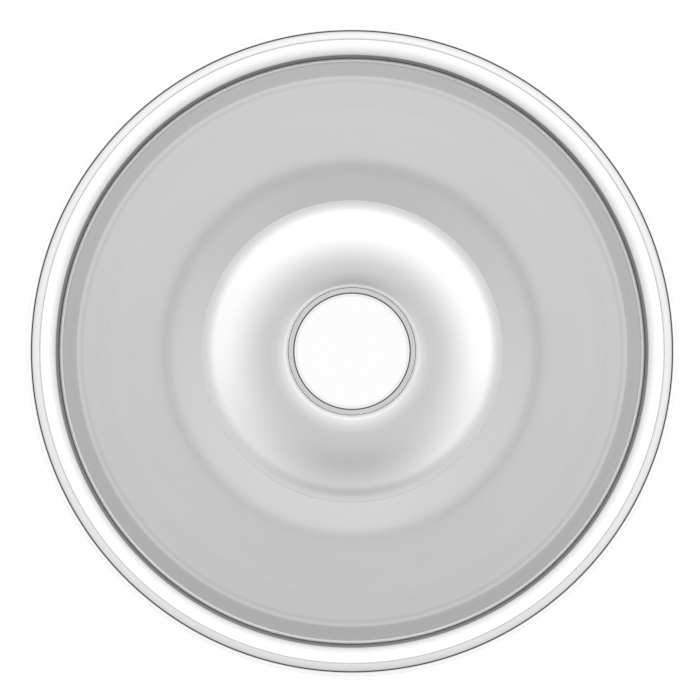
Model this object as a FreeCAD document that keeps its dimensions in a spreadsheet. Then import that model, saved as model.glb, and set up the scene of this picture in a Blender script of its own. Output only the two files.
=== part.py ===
import FreeCAD, Part
import math
import os
import Sketcher

# A donut cutter: a round cutting wall with a rolled rim, a pressed plate fixed inside it, and a
# lift-out centre, which is a low dome with a rounded mouth and the hole-cutting tube in its neck.
# Millimetres. The axis is Z, and both cutting edges stand on the plane z = 0.

SIZES = {
    # Outer cutter
    "cut_diameter": 88.9,
    "cutter_height": 32.0,
    "ring_sheet": 0.6,
    "roll_gap": 0.28,
    "edge_land": 0.2,
    "edge_bevel": 1.2,
    # Wire in the rolled rim
    "wire_diameter": 2.8,
    "wire_gap": 0.07,
    # Plate
    "plate_sheet": 0.6,
    "plate_depth": 7.5,
    "skirt_height": 6.0,
    "skirt_gap": 0.05,
    "skirt_bend": 0.4,
    "shoulder_width": 2.4,
    "shoulder_drop": 0.02,
    "dip_width": 5.3,
    "dip_depth": 0.62,
    "dip_bend": 20.0,
    "collar_depth": 3.0,
    "collar_gap": 0.3,
    "collar_bend": 1.2,
    # Dome of the lift-out centre
    "dome_sheet": 0.6,
    "dome_height": 1.6,
    "crest_diameter": 24.6,
    "crest_bend": 10.5,
    "mouth_bend": 0.75,
    "foot_diameter": 44.4,
    "foot_bend": 6.5,
    "lip_width": 0.4,
    "lip_gap": 0.1,
    "neck_depth": 5.0,
    # Hole-cutting tube of the lift-out centre
    "hole_diameter": 18.8,
    "tube_wall": 0.8,
    "tube_gap": 0.15,
    "tube_inset": 0.5,
    "tube_bevel": 0.22,
    "tube_bevel_height": 0.38,
}

# Radii and heights that several pieces share, worked out from the driving sizes
RING_INSIDE = "(sizes.cut_diameter / 2 - sizes.ring_sheet)"
ROLL_RADIUS = "(sizes.wire_diameter / 2 + sizes.wire_gap + sizes.ring_sheet)"
ROLL_CENTRE = f"({RING_INSIDE} + {ROLL_RADIUS})"
ROLL_HEIGHT = f"(sizes.cutter_height - {ROLL_RADIUS})"

PLATE_TOP = "(sizes.cutter_height - sizes.plate_depth)"
DIP_FLOOR = f"({PLATE_TOP} - sizes.dip_depth)"
SEAT_TOP = f"({DIP_FLOOR} - sizes.dome_sheet)"
LIP_RADIUS = "(sizes.foot_diameter / 2 + sizes.lip_width)"
RECESS_RADIUS = f"({LIP_RADIUS} + sizes.lip_gap)"

TUBE_RADIUS = "(sizes.hole_diameter / 2)"
NECK_INSIDE = f"({TUBE_RADIUS} + sizes.tube_gap)"
CREST_RADIUS = "(sizes.crest_diameter / 2)"
CREST_HEIGHT = f"({DIP_FLOOR} + sizes.dome_height)"
# The crest's bend and the mouth's bend meet where both have turned by the same angle
BEND_DIFFERENCE = "(sizes.crest_bend - sizes.mouth_bend)"
TURN_SINE = f"(({CREST_RADIUS} - {NECK_INSIDE} - sizes.mouth_bend) / {BEND_DIFFERENCE})"
TURN_COSINE = f"sqrt(1 - {TURN_SINE} ^ 2)"
NECK_TOP = f"({CREST_HEIGHT} - sizes.crest_bend + {BEND_DIFFERENCE} * {TURN_COSINE})"
COLLAR_INSIDE = f"({NECK_INSIDE} + sizes.dome_sheet + sizes.collar_gap)"

START, END, CENTRE = 1, 2, 3
ORIGIN = (-1, 1)
X_AXIS = -1
EDGE_MATCH = 1e-4

doc = FreeCAD.newDocument("donut_cutter")
sheet = doc.addObject("Spreadsheet::Sheet", "sizes")
for row, (alias, number) in enumerate(SIZES.items(), start=1):
    sheet.set(f"A{row}", alias)
    sheet.set(f"B{row}", str(number))
    sheet.setAlias(f"B{row}", alias)
doc.recompute()


def measure(expression):
    """The number that an expression on the sheet has now."""
    return float(sheet.evalExpression(expression))


class Section:
    """A closed half-section on a body's XZ plane: the sketch's X is the radius and its Y the height."""

    def __init__(self, label):
        self.label = label
        self.body = doc.addObject("PartDesign::Body", label)
        self.body.Label = label
        self.sketch = self.body.newObject("Sketcher::SketchObject", f"{label}_section")
        plane = next(p for p in self.body.Origin.OriginFeatures if p.Role == "XZ_Plane")
        self.sketch.AttachmentSupport = [(plane, "")]
        self.sketch.MapMode = "FlatFace"

    def line(self, start, end):
        """A straight edge from start to end, as (radius, height) pairs."""
        return self.sketch.addGeometry(Part.LineSegment(FreeCAD.Vector(*start), FreeCAD.Vector(*end)))

    def arc(self, centre, radius, first, last):
        """An arc that runs anticlockwise from the first angle to the last, in degrees."""
        circle = Part.Circle(FreeCAD.Vector(*centre), FreeCAD.Vector(0, 0, 1), radius)
        return self.sketch.addGeometry(Part.ArcOfCircle(circle, math.radians(first), math.radians(last)))

    def polygon(self, points):
        """A closed run of straight edges through (radius expression, height expression) corners."""
        spots = [(measure(radius), measure(height)) for radius, height in points]
        edges = [self.line(a, b) for a, b in zip(spots, spots[1:] + spots[:1])]
        for edge, after in zip(edges, edges[1:] + edges[:1]):
            self.tie("Coincident", edge, END, after, START)
        for edge, (radius, height) in zip(edges, points):
            self.radius_at(edge, START, radius)
            self.height_at(edge, START, height)

    def tie(self, kind, *where):
        """A geometric constraint with no size of its own."""
        return self.sketch.addConstraint(Sketcher.Constraint(kind, *where))

    def bind(self, kind, where, expression):
        """A dimension that takes its size from the sheet."""
        number = self.tie(kind, *where, measure(expression))
        self.sketch.setExpression(f"Constraints[{number}]", expression)

    def radius_at(self, edge, spot, expression):
        self.bind("DistanceX", (*ORIGIN, edge, spot), expression)

    def height_at(self, edge, spot, expression):
        if abs(measure(expression)) < EDGE_MATCH:
            self.tie("PointOnObject", edge, spot, X_AXIS)
        else:
            self.bind("DistanceY", (*ORIGIN, edge, spot), expression)

    def turn(self):
        """The solid of revolution of the section about the Z axis."""
        solid = self.body.newObject("PartDesign::Revolution", f"{self.label}_turned")
        solid.Profile = self.sketch
        solid.ReferenceAxis = (self.sketch, ["V_Axis"])
        solid.Angle = 360.0
        self.sketch.Visibility = False
        doc.recompute()
        return solid

    def round_edge(self, name, radius, height, bend):
        """A bend on the round edge at this radius and height of the body's latest feature."""
        base = self.body.Tip
        edges = [
            f"Edge{number}"
            for number, edge in enumerate(base.Shape.Edges, start=1)
            if edge.Curve.TypeId == "Part::GeomCircle"
            and abs(edge.Curve.Radius - measure(radius)) < EDGE_MATCH
            and abs(edge.Curve.Center.z - measure(height)) < EDGE_MATCH
        ]
        fillet = self.body.newObject("PartDesign::Fillet", f"{self.label}_{name}")
        fillet.Base = (base, edges)
        fillet.Radius = measure(bend)
        fillet.setExpression("Radius", bend)
        doc.recompute()


def make_outer_cutter():
    """The cutting wall: bevelled outside at the bottom, rolled outwards over the wire at the top."""
    wall = Section("outer_cutter")
    inside = measure(RING_INSIDE)
    outside = measure("sizes.cut_diameter / 2")
    roll = measure(ROLL_RADIUS)
    centre = (measure(ROLL_CENTRE), measure(ROLL_HEIGHT))
    hollow = roll - measure("sizes.ring_sheet")
    roll_stop = "(sizes.cut_diameter / 2 + sizes.roll_gap)"
    overhang = math.degrees(math.acos((measure(roll_stop) - centre[0]) / roll))
    land = inside + measure("sizes.edge_land")
    bevel = measure("sizes.edge_bevel")

    def on_roll(radius):
        angle = math.radians(-overhang)
        return (centre[0] + radius * math.cos(angle), centre[1] + radius * math.sin(angle))

    inner_face = wall.line((inside, 0), (inside, centre[1]))
    roll_top = wall.arc(centre, roll, 0, 180)
    roll_under = wall.arc(centre, roll, -overhang, 0)
    roll_end = wall.line(on_roll(roll), on_roll(hollow))
    hollow_under = wall.arc(centre, hollow, -overhang, 0)
    hollow_top = wall.arc(centre, hollow, 0, 180)
    outer_face = wall.line((outside, centre[1]), (outside, bevel))
    bevel_face = wall.line((outside, bevel), (land, 0))
    edge_face = wall.line((land, 0), (inside, 0))

    wall.tie("Coincident", inner_face, END, roll_top, END)
    wall.tie("Coincident", roll_top, START, roll_under, END)
    wall.tie("Coincident", roll_under, START, roll_end, START)
    wall.tie("Coincident", roll_end, END, hollow_under, START)
    wall.tie("Coincident", hollow_under, END, hollow_top, START)
    wall.tie("Coincident", hollow_top, END, outer_face, START)
    wall.tie("Coincident", outer_face, END, bevel_face, START)
    wall.tie("Coincident", bevel_face, END, edge_face, START)
    wall.tie("Coincident", edge_face, END, inner_face, START)
    for bend in (roll_under, hollow_under, hollow_top):
        wall.tie("Coincident", roll_top, CENTRE, bend, CENTRE)
    for half_turn in (roll_top, hollow_top):
        wall.tie("Horizontal", half_turn, CENTRE, half_turn, START)
        wall.tie("Horizontal", half_turn, CENTRE, half_turn, END)
    wall.tie("Vertical", inner_face)
    wall.tie("Vertical", outer_face)
    wall.tie("Horizontal", edge_face)
    wall.tie("PointOnObject", roll_top, CENTRE, roll_end)
    wall.tie("PointOnObject", inner_face, START, X_AXIS)
    wall.radius_at(inner_face, START, RING_INSIDE)
    wall.radius_at(outer_face, START, "sizes.cut_diameter / 2")
    wall.radius_at(roll_top, CENTRE, ROLL_CENTRE)
    wall.height_at(roll_top, CENTRE, ROLL_HEIGHT)
    wall.radius_at(roll_end, START, roll_stop)
    wall.height_at(bevel_face, START, "sizes.edge_bevel")
    wall.radius_at(edge_face, START, f"{RING_INSIDE} + sizes.edge_land")
    wall.turn()
    return wall.body


def make_rim_wire():
    """The round wire that the rim is rolled over."""
    wire = doc.addObject("Part::Torus", "rim_wire")
    wire.Label = "rim_wire"
    wire.setExpression("Radius1", ROLL_CENTRE)
    wire.setExpression("Radius2", "sizes.wire_diameter / 2")
    wire.setExpression("Placement.Base.z", ROLL_HEIGHT)
    return wire


def make_top_plate():
    """The pressed plate: a skirt against the wall, a flat, a gentle dip, and a recess with a collar."""
    plate = Section("top_plate")
    sheet_size = "sizes.plate_sheet"
    skirt = f"({RING_INSIDE} - sizes.skirt_gap)"
    skirt_in = f"({skirt} - {sheet_size})"
    shoulder = f"({skirt} - sizes.shoulder_width)"
    corner = f"({PLATE_TOP} - sizes.shoulder_drop)"
    skirt_foot = f"({corner} - sizes.skirt_height)"
    dip_edge = f"({RECESS_RADIUS} + sizes.dip_width)"
    dip_slope = "(sizes.dip_depth / sizes.dip_width)"
    step = f"({RECESS_RADIUS} + {sheet_size})"
    collar_out = f"({COLLAR_INSIDE} + {sheet_size})"
    collar_foot = f"({SEAT_TOP} - sizes.collar_depth)"
    seat_under = f"({SEAT_TOP} - {sheet_size})"
    plate.polygon([
        (skirt, skirt_foot),
        (skirt, corner),
        (shoulder, PLATE_TOP),
        (dip_edge, PLATE_TOP),
        (RECESS_RADIUS, DIP_FLOOR),
        (RECESS_RADIUS, SEAT_TOP),
        (COLLAR_INSIDE, SEAT_TOP),
        (COLLAR_INSIDE, collar_foot),
        (collar_out, collar_foot),
        (collar_out, seat_under),
        (step, seat_under),
        (step, f"{DIP_FLOOR} + {dip_slope} * {sheet_size} - {sheet_size}"),
        (dip_edge, f"{PLATE_TOP} - {sheet_size}"),
        (shoulder, f"{PLATE_TOP} - {sheet_size}"),
        (skirt_in, f"{corner} - {sheet_size}"),
        (skirt_in, skirt_foot),
    ])
    plate.turn()
    plate.round_edge("skirt_bend", skirt, corner, "sizes.skirt_bend")
    plate.round_edge("dip_bend", dip_edge, PLATE_TOP, "sizes.dip_bend")
    plate.round_edge("collar_bend", COLLAR_INSIDE, SEAT_TOP, "sizes.collar_bend")
    plate.round_edge("collar_underside", collar_out, seat_under, f"sizes.collar_bend - {sheet_size}")
    return plate.body


def make_centre_dome():
    """The low dome: a flat lip in the plate's recess, a crest, a rounded mouth, and a neck for the tube."""
    dome = Section("centre_dome")
    thick = measure("sizes.dome_sheet")
    neck = measure(NECK_INSIDE)
    neck_top = measure(NECK_TOP)
    neck_foot = neck_top - measure("sizes.neck_depth")
    crest = measure(CREST_RADIUS)
    crest_top = measure(CREST_HEIGHT)
    crest_bend = measure("sizes.crest_bend")
    mouth = measure("sizes.mouth_bend")
    foot = measure("sizes.foot_diameter / 2")
    foot_bend = measure("sizes.foot_bend")
    lip = measure(LIP_RADIUS)
    lip_top = measure(DIP_FLOOR)
    turned = math.degrees(math.asin(measure(TURN_SINE)))
    slope = 2 * math.atan2(crest_top - lip_top, foot - crest)
    flank = (foot - crest) / math.sin(slope) - foot_bend
    steep = math.degrees(slope)
    mouth_centre = (neck + mouth, neck_top)
    crest_centre = (crest, crest_top - crest_bend)
    flank_centre = (crest, crest_top - flank)
    foot_centre = (foot, lip_top + foot_bend)

    neck_face = dome.line((neck, neck_foot), (neck, neck_top))
    mouth_over = dome.arc(mouth_centre, mouth, 90 + turned, 180)
    crest_over = dome.arc(crest_centre, crest_bend, 90, 90 + turned)
    flank_over = dome.arc(flank_centre, flank, 90 - steep, 90)
    foot_over = dome.arc(foot_centre, foot_bend, 270 - steep, 270)
    lip_face = dome.line((foot, lip_top), (lip, lip_top))
    lip_edge = dome.line((lip, lip_top), (lip, lip_top - thick))
    lip_under = dome.line((lip, lip_top - thick), (foot, lip_top - thick))
    foot_under = dome.arc(foot_centre, foot_bend + thick, 270 - steep, 270)
    flank_under = dome.arc(flank_centre, flank - thick, 90 - steep, 90)
    crest_under = dome.arc(crest_centre, crest_bend - thick, 90, 90 + turned)
    mouth_under = dome.arc(mouth_centre, mouth - thick, 90 + turned, 180)
    neck_back = dome.line((neck + thick, neck_top), (neck + thick, neck_foot))
    neck_edge = dome.line((neck + thick, neck_foot), (neck, neck_foot))

    dome.tie("Tangent", neck_face, END, mouth_over, END)
    dome.tie("Tangent", mouth_over, START, crest_over, END)
    dome.tie("Tangent", crest_over, START, flank_over, END)
    dome.tie("Tangent", flank_over, START, foot_over, START)
    dome.tie("Tangent", foot_over, END, lip_face, START)
    dome.tie("Coincident", lip_face, END, lip_edge, START)
    dome.tie("Coincident", lip_edge, END, lip_under, START)
    dome.tie("Tangent", lip_under, END, foot_under, END)
    dome.tie("Tangent", foot_under, START, flank_under, START)
    dome.tie("Tangent", flank_under, END, crest_under, START)
    dome.tie("Tangent", crest_under, END, mouth_under, START)
    dome.tie("Tangent", mouth_under, END, neck_back, START)
    dome.tie("Coincident", neck_back, END, neck_edge, START)
    dome.tie("Coincident", neck_edge, END, neck_face, START)
    for over, under in (
        (mouth_over, mouth_under),
        (crest_over, crest_under),
        (flank_over, flank_under),
        (foot_over, foot_under),
    ):
        dome.tie("Coincident", over, CENTRE, under, CENTRE)
    dome.tie("Vertical", crest_over, CENTRE, flank_over, CENTRE)
    for upright in (neck_face, lip_edge, neck_back):
        dome.tie("Vertical", upright)
    for level in (lip_face, lip_under, neck_edge):
        dome.tie("Horizontal", level)
    dome.radius_at(neck_face, START, NECK_INSIDE)
    dome.height_at(neck_face, START, f"{NECK_TOP} - sizes.neck_depth")
    dome.bind("Radius", (mouth_over,), "sizes.mouth_bend")
    dome.bind("Radius", (crest_over,), "sizes.crest_bend")
    dome.radius_at(crest_over, CENTRE, CREST_RADIUS)
    dome.height_at(crest_over, START, CREST_HEIGHT)
    dome.radius_at(foot_over, CENTRE, "sizes.foot_diameter / 2")
    dome.bind("Radius", (foot_over,), "sizes.foot_bend")
    dome.radius_at(lip_edge, START, LIP_RADIUS)
    dome.height_at(lip_edge, START, DIP_FLOOR)
    dome.height_at(lip_edge, END, SEAT_TOP)
    dome.turn()
    return dome.body


def make_centre_cutter():
    """The hole-cutting tube, fixed in the dome's neck and bevelled inside at both ends."""
    tube = Section("centre_cutter")
    inside = f"({TUBE_RADIUS} - sizes.tube_wall)"
    top = f"({NECK_TOP} - sizes.tube_inset)"
    tube.polygon([
        (TUBE_RADIUS, "0"),
        (TUBE_RADIUS, top),
        (f"{inside} + sizes.tube_bevel", top),
        (inside, f"{top} - sizes.tube_bevel_height"),
        (inside, "sizes.edge_bevel"),
        (f"{TUBE_RADIUS} - sizes.edge_land", "0"),
    ])
    tube.turn()
    return tube.body


PIECES = [
    make_outer_cutter(),
    make_rim_wire(),
    make_top_plate(),
    make_centre_dome(),
    make_centre_cutter(),
]
doc.recompute()

for thing in doc.Objects:
    if {"Invalid", "Error"} & set(thing.State):
        raise RuntimeError(f"{thing.Label} failed: {thing.State}")
    if thing.TypeId == "Sketcher::SketchObject" and not thing.FullyConstrained:
        raise RuntimeError(f"{thing.Label} is not fully constrained")
for piece in PIECES:
    if piece.Shape.isNull() or not piece.Shape.isValid() or len(piece.Shape.Solids) != 1:
        raise RuntimeError(f"{piece.Label} is not one valid solid")

os.makedirs("parts", exist_ok=True)
for piece in PIECES:
    piece.Shape.exportStep(f"parts/{piece.Label}.step")
    box = piece.Shape.optimalBoundingBox()
    print(f"{piece.Label}: {box.XLength:.2f} x {box.YLength:.2f} x {box.ZLength:.2f} mm,", end=" ")
    print(f"from z {box.ZMin:.2f}, volume {piece.Shape.Volume:.1f} mm3")
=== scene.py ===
import math

import bmesh
import bpy
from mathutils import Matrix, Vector


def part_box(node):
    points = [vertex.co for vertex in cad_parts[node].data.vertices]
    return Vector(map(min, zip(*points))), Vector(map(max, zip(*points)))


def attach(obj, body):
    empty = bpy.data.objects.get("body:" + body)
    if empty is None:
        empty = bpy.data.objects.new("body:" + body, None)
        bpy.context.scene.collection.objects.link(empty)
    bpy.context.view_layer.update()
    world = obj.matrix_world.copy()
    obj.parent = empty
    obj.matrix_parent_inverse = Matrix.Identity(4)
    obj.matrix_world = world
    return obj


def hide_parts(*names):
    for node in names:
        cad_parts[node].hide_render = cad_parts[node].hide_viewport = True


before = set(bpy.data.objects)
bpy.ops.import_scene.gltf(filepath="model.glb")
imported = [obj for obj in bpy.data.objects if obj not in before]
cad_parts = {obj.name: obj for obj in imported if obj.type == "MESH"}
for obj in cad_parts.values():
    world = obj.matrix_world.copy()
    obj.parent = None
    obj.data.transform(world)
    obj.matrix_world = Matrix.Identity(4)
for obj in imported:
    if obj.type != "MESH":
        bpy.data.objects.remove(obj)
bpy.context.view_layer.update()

# A donut cutter of bright sheet metal, seen from straight above: a rolled rim round a sunk plate,
# and in the middle a low lift-out dome with a rounded mouth and the tube that cuts the hole.

MM = 0.001

# Places that the frame gives
RIM_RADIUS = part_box("outer_cutter")[1].x
SKIRT_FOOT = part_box("top_plate")[0].z
SKIRT_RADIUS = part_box("top_plate")[1].x
PLATE_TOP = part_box("top_plate")[1].z
NECK_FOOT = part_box("centre_dome")[0].z
LIP_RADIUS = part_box("centre_dome")[1].x
TUBE_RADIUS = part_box("centre_cutter")[1].x
TUBE_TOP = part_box("centre_cutter")[1].z

# Sheet metal sizes, in metres
SHEET = 0.6 * MM
ROLL_RADIUS = 2.07 * MM
ROLL_GAP = 0.28 * MM
EDGE_LAND = 0.2 * MM
EDGE_BEVEL = 1.2 * MM
PLATE_DEPTH = 7.5 * MM
SKIRT_GAP = 0.05 * MM
SKIRT_BEND = 0.4 * MM
SHOULDER_WIDTH = 2.4 * MM
SHOULDER_DROP = 0.02 * MM
DIP_WIDTH = 5.39 * MM
DIP_DEPTH = 0.62 * MM
DIP_BEND = 20 * MM
COLLAR_DEPTH = 3 * MM
COLLAR_GAP = 0.3 * MM
COLLAR_BEND = 1.2 * MM
DOME_HEIGHT = 1.6 * MM
CREST_RADIUS = 12.3 * MM
CREST_BEND = 10.5 * MM
MOUTH_BEND = 0.75 * MM
FOOT_BEND = 6.5 * MM
LIP_WIDTH = 0.4 * MM
LIP_GAP = 0.01 * MM
TUBE_GAP = 0.15 * MM
TUBE_WALL = 0.8 * MM
TUBE_INSET = 0.5 * MM
TUBE_BEVEL = 0.22 * MM
TUBE_BEVEL_HEIGHT = 0.38 * MM
EDGE_ROUND = 0.02 * MM

# Grooves that the rolling tool left round the rim: place out from the crest, width and depth
CREST_GROOVE = (-0.06 * MM, 0.14 * MM, 0.05 * MM)
OUTER_GROOVE = (1.26 * MM, 0.26 * MM, 0.14 * MM)

# Radii and heights worked out from them
WALL_INSIDE = SKIRT_RADIUS + SKIRT_GAP
WALL_OUTSIDE = WALL_INSIDE + SHEET
RIM_TOP = PLATE_TOP + PLATE_DEPTH
ROLL_CENTRE = (RIM_RADIUS - ROLL_RADIUS, RIM_TOP - ROLL_RADIUS)
DIP_FLOOR = PLATE_TOP - DIP_DEPTH
SEAT_TOP = DIP_FLOOR - SHEET
CREST_TOP = DIP_FLOOR + DOME_HEIGHT
FOOT_RADIUS = LIP_RADIUS - LIP_WIDTH
RECESS_RADIUS = LIP_RADIUS + LIP_GAP
DIP_EDGE = RECESS_RADIUS + DIP_WIDTH
SHOULDER = SKIRT_RADIUS - SHOULDER_WIDTH
NECK_INSIDE = TUBE_RADIUS + TUBE_GAP
NECK_TOP = TUBE_TOP + TUBE_INSET
CREST_TURN = math.asin((CREST_RADIUS - NECK_INSIDE - MOUTH_BEND) / (CREST_BEND - MOUTH_BEND))
COLLAR_INSIDE = NECK_INSIDE + SHEET + COLLAR_GAP

# How finely the sections are drawn and turned
TURN_STEPS = 384
ARC_STEP = math.radians(5)
FEWEST_ARC_STEPS = 4
DOME_FINENESS = 4
DIP_FINENESS = 3
HIDDEN_FINENESS = 0.6
SHARP_EDGE = math.radians(32)
ROUND_SEGMENTS = 3
MERGE = 1e-4 * MM

# Extra points this far from the ends of a straight edge, unless they would be over a share of its length
HOLD = 0.06 * MM
HOLD_SHARE = 0.25


class Section:
    """A half-section drawn with a moving pen, in radius and height, and then turned round the Z axis."""

    def __init__(self, radius, height):
        self.mesh = bmesh.new()
        self.start = self.mesh.verts.new((radius, 0, height))
        self.pen = self.start

    def grow(self, place):
        """The next point of the section, joined to the pen."""
        grown = bmesh.ops.extrude_vert_indiv(self.mesh, verts=[self.pen])
        self.pen = grown["verts"][0]
        self.pen.co = place

    def line(self, radius, height):
        """A straight edge from the pen to here; points near its ends keep its shading flat."""
        start = self.pen.co.copy()
        end = Vector((radius, 0, height))
        near = HOLD / (end - start).length
        if near < HOLD_SHARE:
            self.grow(start.lerp(end, near))
            self.grow(start.lerp(end, 1 - near))
        self.grow(end)

    def arc(self, centre, turn, finer=1):
        """An arc of the pen round a centre; a positive turn, in radians, is anticlockwise."""
        swept = bmesh.ops.spin(
            self.mesh,
            geom=[self.pen],
            cent=(centre[0], 0, centre[1]),
            axis=(0, -1, 0),
            angle=turn,
            steps=max(FEWEST_ARC_STEPS, round(finer * abs(turn) / ARC_STEP)),
        )
        self.pen = next(v for v in swept["geom_last"] if isinstance(v, bmesh.types.BMVert))

    def turn(self, name, node, body, slot, finish):
        """The closed ring that the section makes, with its sheet edges broken, in place of a CAD node."""
        ring = self.mesh
        ring.edges.new((self.pen, self.start))
        bmesh.ops.spin(
            ring,
            geom=ring.verts[:] + ring.edges[:],
            cent=(0, 0, 0),
            axis=(0, 0, 1),
            angle=math.tau,
            steps=TURN_STEPS,
            use_merge=True,
        )
        bmesh.ops.remove_doubles(ring, verts=ring.verts, dist=MERGE)
        bmesh.ops.recalc_face_normals(ring, faces=ring.faces)
        bmesh.ops.bevel(
            ring,
            geom=[e for e in ring.edges if e.calc_face_angle(0) > SHARP_EDGE],
            offset=EDGE_ROUND,
            affect="EDGES",
            segments=ROUND_SEGMENTS,
            profile=0.5,
            material=-1,
            clamp_overlap=True,
        )
        for face in ring.faces:
            face.smooth = True
        mesh = bpy.data.meshes.new(name)
        ring.to_mesh(mesh)
        ring.free()
        mesh.set_sharp_from_angle(angle=SHARP_EDGE)
        mesh.materials.append(finish)
        piece = bpy.data.objects.new(name, mesh)
        bpy.context.scene.collection.objects.link(piece)
        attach(piece, body)
        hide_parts(node)
        return piece


class Tone:
    """A socket that carries a number over a surface; arithmetic on it adds Math nodes."""

    def __init__(self, nodes, socket):
        self.nodes = nodes
        self.socket = socket

    def math(self, operation, first, second):
        return self.nodes.add("ShaderNodeMath", {"operation": operation}, {0: first, 1: second})

    def __add__(self, other):
        return self.math("ADD", self, other)

    def __radd__(self, other):
        return self.math("ADD", other, self)

    def __sub__(self, other):
        return self.math("SUBTRACT", self, other)

    def __rsub__(self, other):
        return self.math("SUBTRACT", other, self)

    def __mul__(self, other):
        return self.math("MULTIPLY", self, other)

    def __rmul__(self, other):
        return self.math("MULTIPLY", other, self)

    def __truediv__(self, other):
        return self.math("DIVIDE", self, other)

    def __rpow__(self, other):
        return self.math("POWER", other, self)

    def past(self, low, high):
        """0 below low, 1 above high, and a smooth climb between them."""
        return self.nodes.add(
            "ShaderNodeMapRange",
            {"interpolation_type": "SMOOTHSTEP"},
            {"Value": self, "From Min": low, "From Max": high},
        )

    def near(self, place, width):
        """1 at a place, falling off to both sides as a bell curve does."""
        away = (self - place) / width
        return math.e ** (away * away * -1)


class Nodes:
    """The node tree of a material or of the world."""

    def __init__(self, owner):
        owner.use_nodes = True
        self.tree = owner.node_tree
        self.tree.nodes.clear()

    def add(self, kind, settings, sockets, output=0):
        """A node: its settings first, then the values or links of its sockets; gives one output."""
        node = self.tree.nodes.new(kind)
        for name, setting in settings.items():
            setattr(node, name, setting)
        for name, value in sockets.items():
            if isinstance(value, Tone):
                self.tree.links.new(value.socket, node.inputs[name])
            else:
                node.inputs[name].default_value = value
        return Tone(self, node.outputs[output]) if len(node.outputs) else None


class Steel:
    """A metal finish under construction, with the radius and height of each point of the piece."""

    def __init__(self, name):
        self.material = bpy.data.materials.new(name)
        self.nodes = Nodes(self.material)
        self.place = self.nodes.add("ShaderNodeTexCoord", {}, {}, "Object")
        level = self.nodes.add(
            "ShaderNodeVectorMath", {"operation": "MULTIPLY"}, {0: self.place, 1: (1, 1, 0)}
        )
        self.radius = self.nodes.add("ShaderNodeVectorMath", {"operation": "LENGTH"}, {0: level}, "Value")
        self.height = self.nodes.add("ShaderNodeSeparateXYZ", {}, {0: self.place}, "Z")

    def rings(self, spacing, detail=3.0):
        """Fine random rings about the axis, from -1 to 1, about this far apart."""
        noise = self.nodes.add(
            "ShaderNodeTexNoise",
            {"noise_dimensions": "2D"},
            {
                "Vector": self.nodes.add(
                    "ShaderNodeCombineXYZ", {}, {"X": self.radius, "Y": self.height}
                ),
                "Scale": 1 / spacing,
                "Detail": detail,
                "Roughness": 0.6,
            },
        )
        return noise * 2 - 1

    def clouds(self, spacing):
        """Soft blotches, from -1 to 1, about this far apart."""
        noise = self.nodes.add(
            "ShaderNodeTexNoise",
            {},
            {"Vector": self.place, "Scale": 1 / spacing, "Detail": 2.0, "Roughness": 0.5},
        )
        return noise * 2 - 1

    def finish(self, colour, roughness, relief, relief_depth, metallic=1.0):
        """The finished material, with its fine relief as a bump."""
        bump = self.nodes.add(
            "ShaderNodeBump", {}, {"Height": relief, "Distance": relief_depth, "Strength": 1.0}, "Normal"
        )
        shader = self.nodes.add(
            "ShaderNodeBsdfPrincipled",
            {},
            {"Base Color": colour, "Roughness": roughness, "Metallic": metallic, "Normal": bump},
        )
        self.nodes.add("ShaderNodeOutputMaterial", {}, {"Surface": shader})
        return self.material


# Base tones of the finishes, on a scale from black at 0 to white at 1, and their roughness
WALL_TONE = 0.6
# The rim's tone is a painted highlight: the top of the roll is painted near white
RIM_PAINTED_HIGHLIGHT_TONE = 0.97
WIRE_TONE = 0.5
PLATE_TONE = 0.585
DOME_TONE = 0.6
TUBE_TONE = 0.6
WALL_ROUGHNESS = 0.3
WIRE_ROUGHNESS = 0.35
PLATE_ROUGHNESS = 0.22
DOME_ROUGHNESS = 0.2
TUBE_ROUGHNESS = 0.3

# Depth of the fine lines that rolling, drawing and turning left
ROLLED_RELIEF = 0.002 * MM
DRAWN_RELIEF = 0.004 * MM
TURNED_RELIEF = 0.0006 * MM
TUBE_RELIEF = 0.0008 * MM


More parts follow.
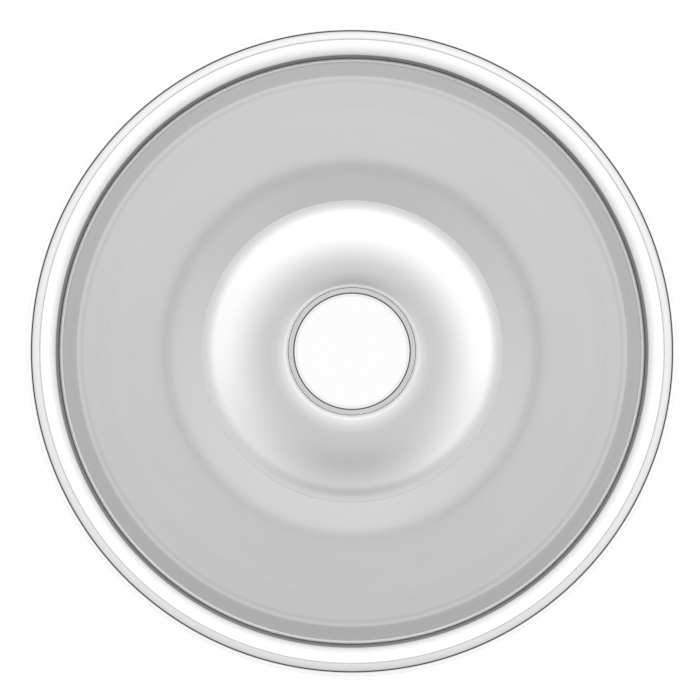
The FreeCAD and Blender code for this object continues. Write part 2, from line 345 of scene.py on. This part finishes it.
def make_rolled_steel():
    """The rim and wall: painted near white on top as a highlight, satin below, with painted shade in the
    grooves, at the outer edge and on the inner face just above the plate, which is also rougher there.
    """
    steel = Steel("rolled_steel")
    radius, height = steel.radius, steel.height
    lines = steel.rings(0.12 * MM)
    clouds = steel.clouds(6 * MM)
    crest, middle = ROLL_CENTRE
    crest_groove = crest + CREST_GROOVE[0]
    outer_groove = crest + OUTER_GROOVE[0]
    past_crest = radius.past(crest_groove, crest_groove + 0.1 * MM)
    past_outer = radius.past(outer_groove, outer_groove + 0.1 * MM)
    between = past_crest * (1 - past_outer)
    # Painted shade on the wall's inner face just above the plate, in the crevice between wall and plate;
    # it is rougher there too
    inner_face = 1 - radius.past(WALL_INSIDE + 0.02 * MM, WALL_INSIDE + 0.06 * MM)
    over_plate = height.past(PLATE_TOP - 1.5 * MM, PLATE_TOP - 0.5 * MM)
    on_roll_bend = height.past(middle - 1.6 * MM, middle - 0.6 * MM)
    dull_and_crevice_shade = inner_face * over_plate * (1 - on_roll_bend)
    # Painted highlight: the upper part of the roll is painted near white, and is rougher
    top = height.past(middle - 1.2 * MM, middle - 0.2 * MM)
    # Painted shade: the outermost edge of the roll is painted darker, as a dark outline
    painted_outline_shade = radius.past(RIM_RADIUS - 0.12 * MM, RIM_RADIUS - 0.02 * MM)
    above = height.past(middle, middle + 0.5 * MM)
    # Painted shade in the two grooves on top of the roll
    painted_groove_shade = radius.near(crest_groove, 0.09 * MM) * 0.45 + radius.near(outer_groove, 0.13 * MM) * 0.8
    # Between the grooves on top the painted highlight is 0.22 weaker
    dark = between * above * 0.22 + painted_groove_shade * above + painted_outline_shade * 0.3 + dull_and_crevice_shade * 0.28
    colour = WALL_TONE + top * (RIM_PAINTED_HIGHLIGHT_TONE - WALL_TONE) - dark + lines * 0.025 + clouds * 0.01
    worn = top * 0.28 + dull_and_crevice_shade * 0.28 - between * above * 0.06
    roughness = WALL_ROUGHNESS + worn + lines * 0.04 + clouds * 0.03
    # Above the middle of the roll, except between the grooves, it is less metallic, so that its painted
    # highlight shows white
    metallic = 1 - above * (1 - between) * 0.75
    return steel.finish(colour, roughness, lines, ROLLED_RELIEF, metallic)


def make_wire_steel():
    """Bright drawn wire, with lines along its length."""
    steel = Steel("wire_steel")
    lines = steel.rings(0.08 * MM)
    clouds = steel.clouds(3 * MM)
    colour = WIRE_TONE + lines * 0.05
    roughness = WIRE_ROUGHNESS + clouds * 0.05
    return steel.finish(colour, roughness, lines, DRAWN_RELIEF)


def make_spun_steel():
    """The plate: satin, with faint concentric turning lines that grow plainer towards the shoulder,
    painted shade on the shoulder and at the bend of the dip, and a painted highlight on its outer edge.
    """
    steel = Steel("spun_steel")
    radius = steel.radius
    fine = steel.rings(0.25 * MM)
    broad = steel.rings(1.6 * MM, 1.0)
    clouds = steel.clouds(14 * MM)
    outside = radius.past(DIP_EDGE, SHOULDER)
    # Painted shade: the shoulder by the wall is painted darker, and is smoother
    shoulder = radius.past(SHOULDER - 0.4 * MM, SHOULDER - 0.1 * MM)
    # Painted shade: a soft darker ring at the bend where the dip begins
    dip_bend_shade = radius.near(DIP_EDGE - 0.3 * MM, 1.1 * MM)
    # A thin darker ring 1 mm inside the shoulder
    ring_inside_shoulder = radius.near(SHOULDER - 1.0 * MM, 0.25 * MM)
    # Painted highlight: the plate's outer edge is painted pale, rougher and less metallic
    painted_highlight_edge = radius.past(SKIRT_RADIUS - 0.6 * MM, SKIRT_RADIUS - 0.45 * MM)
    dip = 1 - radius.past(DIP_EDGE - 2 * MM, DIP_EDGE)
    dark = shoulder * 0.12 + dip_bend_shade * 0.065 + ring_inside_shoulder * 0.05 + dip * 0.01
    marks = fine * 0.012 + broad * outside * 0.03 + clouds * 0.008
    colour = PLATE_TONE - dark + painted_highlight_edge * 0.5 + marks
    roughness = PLATE_ROUGHNESS - shoulder * 0.1 + painted_highlight_edge * 0.4 + fine * 0.03 + clouds * 0.02
    metallic = 1 - painted_highlight_edge * 0.7
    return steel.finish(colour, roughness, fine, TURNED_RELIEF, metallic)


def make_polished_steel():
    """The dome: polished, with faint turning lines; its slope into the mouth is painted darker as shade,
    and the edge of its mouth is painted paler as a highlight and is duller.
    """
    steel = Steel("polished_steel")
    fine = steel.rings(0.3 * MM)
    clouds = steel.clouds(9 * MM)
    # Painted shade: the slope from the crest into the mouth is up to 0.07 darker than the flank
    crest = steel.radius.past(NECK_INSIDE, CREST_RADIUS)
    flank = steel.radius.past(CREST_RADIUS, CREST_RADIUS + 4 * MM)
    # Painted highlight: the edge of the mouth is painted paler, rougher and less metallic
    mouth = 1 - steel.radius.past(NECK_INSIDE + 0.2 * MM, NECK_INSIDE + 0.5 * MM)
    colour = DOME_TONE + crest * 0.02 + flank * 0.05 + mouth * 0.3 + fine * 0.012 + clouds * 0.008
    roughness = DOME_ROUGHNESS + mouth * 0.3 + fine * 0.03 + clouds * 0.02
    metallic = 1 - mouth * 0.6
    return steel.finish(colour, roughness, fine, TURNED_RELIEF, metallic)


def make_tube_steel():
    """The tube: satin, drawn lengthwise, paler and smoother on its inner face, with painted shade in the
    bevel at its top.
    """
    steel = Steel("tube_steel")
    fine = steel.rings(0.1 * MM)
    clouds = steel.clouds(4 * MM)
    inside = TUBE_RADIUS - TUBE_WALL
    # Painted shade in the bevel at the top of the tube
    in_bevel = 1 - steel.radius.past(inside + 0.8 * TUBE_BEVEL, inside + TUBE_BEVEL)
    near_top = steel.height.past(TUBE_TOP - 2 * TUBE_BEVEL_HEIGHT, TUBE_TOP - TUBE_BEVEL_HEIGHT)
    bevel = in_bevel * near_top
    inner_face = 1 - steel.radius.past(inside + 0.02 * MM, inside + 0.1 * MM)
    colour = TUBE_TONE + inner_face * 0.2 - bevel * 0.45 + fine * 0.02
    roughness = TUBE_ROUGHNESS - inner_face * 0.16 + clouds * 0.04
    return steel.finish(colour, roughness, fine, TUBE_RELIEF)


def on_roll(angle, depth=0):
    """A point of the rolled rim, at an angle from its outermost line and a depth under its skin."""
    reach = ROLL_RADIUS - depth
    return ROLL_CENTRE[0] + reach * math.cos(angle), ROLL_CENTRE[1] + reach * math.sin(angle)


def make_rim():
    """The cutting wall, rolled outwards at the top and bevelled outside at the bottom."""
    overhang = math.acos((WALL_OUTSIDE + ROLL_GAP - ROLL_CENTRE[0]) / ROLL_RADIUS)
    hollow = ROLL_RADIUS - SHEET
    wall = Section(WALL_INSIDE, 0)
    wall.line(WALL_INSIDE, ROLL_CENTRE[1])
    angle = math.pi
    for place, width, depth in (CREST_GROOVE, OUTER_GROOVE):
        middle = math.acos(place / ROLL_RADIUS)
        half = width / ROLL_RADIUS / 2
        wall.arc(ROLL_CENTRE, middle + half - angle)
        wall.line(*on_roll(middle, depth))
        wall.line(*on_roll(middle - half))
        angle = middle - half
    wall.arc(ROLL_CENTRE, -overhang - angle)
    wall.line(
        ROLL_CENTRE[0] + hollow * math.cos(overhang),
        ROLL_CENTRE[1] - hollow * math.sin(overhang),
    )
    wall.arc(ROLL_CENTRE, math.pi + overhang, HIDDEN_FINENESS)
    wall.line(WALL_OUTSIDE, EDGE_BEVEL)
    wall.line(WALL_INSIDE + EDGE_LAND, 0)
    wall.turn("rolled_wall", "outer_cutter", "cutter", "rolled_steel", make_rolled_steel())


def make_plate():
    """The pressed plate: skirt, shoulder, flat, dip, recess and collar, then back along the underside."""
    corner = PLATE_TOP - SHOULDER_DROP
    shoulder_slope = math.atan2(SHOULDER_DROP, SHOULDER_WIDTH)
    dip_slope = math.atan2(DIP_DEPTH, DIP_WIDTH)
    skirt_run = SKIRT_BEND * math.tan((math.pi / 2 - shoulder_slope) / 2)
    dip_run = DIP_BEND * math.tan(dip_slope / 2)
    step = RECESS_RADIUS + SHEET
    collar_out = COLLAR_INSIDE + SHEET
    collar_foot = SEAT_TOP - COLLAR_DEPTH
    inner_bend = COLLAR_BEND - SHEET
    plate = Section(SKIRT_RADIUS, SKIRT_FOOT)
    plate.line(SKIRT_RADIUS, corner - skirt_run)
    plate.arc((SKIRT_RADIUS - SKIRT_BEND, corner - skirt_run), math.pi / 2 - shoulder_slope)
    plate.line(SHOULDER, PLATE_TOP)
    plate.line(DIP_EDGE + dip_run, PLATE_TOP)
    plate.arc((DIP_EDGE + dip_run, PLATE_TOP - DIP_BEND), dip_slope, DIP_FINENESS)
    plate.line(RECESS_RADIUS, DIP_FLOOR)
    plate.line(RECESS_RADIUS, SEAT_TOP)
    plate.line(COLLAR_INSIDE + COLLAR_BEND, SEAT_TOP)
    plate.arc((COLLAR_INSIDE + COLLAR_BEND, SEAT_TOP - COLLAR_BEND), math.pi / 2)
    plate.line(COLLAR_INSIDE, collar_foot)
    plate.line(collar_out, collar_foot)
    plate.line(collar_out, SEAT_TOP - COLLAR_BEND)
    plate.arc((collar_out + inner_bend, SEAT_TOP - COLLAR_BEND), -math.pi / 2)
    plate.line(step, SEAT_TOP - SHEET)
    plate.line(step, DIP_FLOOR + SHEET * math.tan(dip_slope) - SHEET)
    plate.line(DIP_EDGE, PLATE_TOP - SHEET)
    plate.line(SHOULDER, PLATE_TOP - SHEET)
    plate.line(SKIRT_RADIUS - SHEET, corner - SHEET)
    plate.line(SKIRT_RADIUS - SHEET, SKIRT_FOOT)
    plate.turn("pressed_plate", "top_plate", "cutter", "spun_steel", make_spun_steel())


def make_dome():
    """The low dome: neck, mouth, crest, flank, foot and lip, then back along the underside."""
    run = FOOT_RADIUS - CREST_RADIUS
    slope = 2 * math.atan2(DOME_HEIGHT, run)
    flank = run / math.sin(slope) - FOOT_BEND
    mouth_centre = (NECK_INSIDE + MOUTH_BEND, NECK_TOP)
    crest_centre = (CREST_RADIUS, CREST_TOP - CREST_BEND)
    flank_centre = (CREST_RADIUS, CREST_TOP - flank)
    foot_centre = (FOOT_RADIUS, DIP_FLOOR + FOOT_BEND)
    mouth_turn = math.pi / 2 - CREST_TURN
    dome = Section(NECK_INSIDE, NECK_FOOT)
    dome.line(NECK_INSIDE, NECK_TOP)
    dome.arc(mouth_centre, -mouth_turn)
    dome.arc(crest_centre, -CREST_TURN, DOME_FINENESS)
    dome.arc(flank_centre, -slope, DOME_FINENESS)
    dome.arc(foot_centre, slope, DOME_FINENESS)
    dome.line(LIP_RADIUS, DIP_FLOOR)
    dome.line(LIP_RADIUS, SEAT_TOP)
    dome.line(FOOT_RADIUS, SEAT_TOP)
    dome.arc(foot_centre, -slope)
    dome.arc(flank_centre, slope)
    dome.arc(crest_centre, CREST_TURN)
    dome.arc(mouth_centre, mouth_turn)
    dome.line(NECK_INSIDE + SHEET, NECK_FOOT)
    dome.turn("round_dome", "centre_dome", "centre", "polished_steel", make_polished_steel())


def make_tube():
    """The tube that cuts the hole, bevelled inside at both ends."""
    inside = TUBE_RADIUS - TUBE_WALL
    tube = Section(TUBE_RADIUS, 0)
    tube.line(TUBE_RADIUS, TUBE_TOP)
    tube.line(inside + TUBE_BEVEL, TUBE_TOP)
    tube.line(inside, TUBE_TOP - TUBE_BEVEL_HEIGHT)
    tube.line(inside, EDGE_BEVEL)
    tube.line(TUBE_RADIUS - EDGE_LAND, 0)
    tube.turn("hole_tube", "centre_cutter", "centre", "tube_steel", make_tube_steel())


def finish_wire():
    """The wire inside the roll is the frame's own piece, with its own finish."""
    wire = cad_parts["rim_wire"]
    wire.data.materials.clear()
    wire.data.materials.append(make_wire_steel())


# Soft lights round the object: azimuth, elevation and spread in degrees, and strength over the even
# light of the tent; a strength below 0 is a darker patch
TENT_LIGHT = 0.87
SOFT_LIGHTS = [
    (90, 53, 21, 0.8),
    (45, 52, 18, 0.5),
    (135, 52, 18, 0.45),
    (0, 52, 20, 0.68),
    (180, 52, 20, 0.55),
    (315, 41, 15, 0.48),
    (225, 40, 15, 0.32),
    (270, 67, 12, -0.22),
    (270, 44, 14, 0.14),
    (270, -8, 30, -0.45),
]
WHITE = (1, 1, 1, 1)


def make_tent():
    """A white light tent: even light all round, brighter patches, and plain white behind the object."""
    world = bpy.data.worlds.new("light_tent")
    bpy.context.scene.world = world
    nodes = Nodes(world)
    look = nodes.add("ShaderNodeTexCoord", {}, {}, "Generated")
    light = TENT_LIGHT
    for azimuth, elevation, spread, strength in SOFT_LIGHTS:
        turn, lift = math.radians(azimuth), math.radians(elevation)
        aim = (math.cos(lift) * math.cos(turn), math.cos(lift) * math.sin(turn), math.sin(lift))
        facing = nodes.add(
            "ShaderNodeVectorMath", {"operation": "DOT_PRODUCT"}, {0: look, 1: aim}, "Value"
        )
        light = math.e ** ((facing - 1) / (1 - math.cos(math.radians(spread)))) * strength + light
    tent = nodes.add("ShaderNodeBackground", {}, {"Color": light})
    white = nodes.add("ShaderNodeBackground", {}, {"Color": WHITE})
    seen = nodes.add("ShaderNodeLightPath", {}, {}, "Is Camera Ray")
    mixed = nodes.add("ShaderNodeMixShader", {}, {0: seen, 1: tent, 2: white})
    nodes.add("ShaderNodeOutputWorld", {}, {"Surface": mixed})


FLOOR_HALF = 1.5
FLOOR_COLOUR = (0.9, 0.9, 0.9, 1)
FLOOR_GLOW = 0.97


def make_floor():
    """A plain white table top, a little lit from within as a light table is."""
    sheet = bmesh.new()
    bmesh.ops.create_grid(sheet, x_segments=1, y_segments=1, size=FLOOR_HALF)
    mesh = bpy.data.meshes.new("table_top")
    sheet.to_mesh(mesh)
    sheet.free()
    floor = bpy.data.objects.new("table_top", mesh)
    bpy.context.scene.collection.objects.link(floor)
    paint = bpy.data.materials.new("table_white")
    nodes = Nodes(paint)
    camera_ray = nodes.add("ShaderNodeLightPath", {}, {}, "Is Camera Ray")
    glossy_ray = nodes.add("ShaderNodeLightPath", {}, {}, "Is Glossy Ray")
    through_ray = nodes.add("ShaderNodeLightPath", {}, {}, "Is Transmission Ray")
    matt = nodes.add("ShaderNodeBsdfDiffuse", {}, {"Color": FLOOR_COLOUR})
    glow = nodes.add("ShaderNodeEmission", {}, {"Color": WHITE, "Strength": 1.0})
    share = (camera_ray + glossy_ray + through_ray) * FLOOR_GLOW
    mixed = nodes.add("ShaderNodeMixShader", {}, {0: share, 1: matt, 2: glow})
    nodes.add("ShaderNodeOutputMaterial", {}, {"Surface": mixed})
    mesh.materials.append(paint)


# The photo's frame: 700 px square, with the rim's outer edge 325 px from its centre
PHOTO_WIDTH = 700
RIM_PIXELS = 325
RIM_OFFSET_RIGHT = 2.0
RIM_OFFSET_DOWN = 1.3
CAMERA_ABOVE = 450 * MM
SENSOR = 36


def make_camera():
    """A camera straight above, with the top of the photo towards +Y."""
    lens = bpy.data.cameras.new("overhead_camera")
    lens.sensor_width = SENSOR
    metres_per_pixel = RIM_RADIUS / RIM_PIXELS
    lens.lens = SENSOR * (CAMERA_ABOVE + ROLL_RADIUS) / (PHOTO_WIDTH * metres_per_pixel)
    lens.shift_x = -RIM_OFFSET_RIGHT / PHOTO_WIDTH
    lens.shift_y = RIM_OFFSET_DOWN / PHOTO_WIDTH
    camera = bpy.data.objects.new("overhead_camera", lens)
    camera.location = (0, 0, RIM_TOP + CAMERA_ABOVE)
    bpy.context.scene.collection.objects.link(camera)
    bpy.context.scene.camera = camera


make_rim()
make_plate()
make_dome()
make_tube()
finish_wire()
make_tent()
make_floor()
make_camera()
bpy.context.scene.view_settings.view_transform = "Standard"
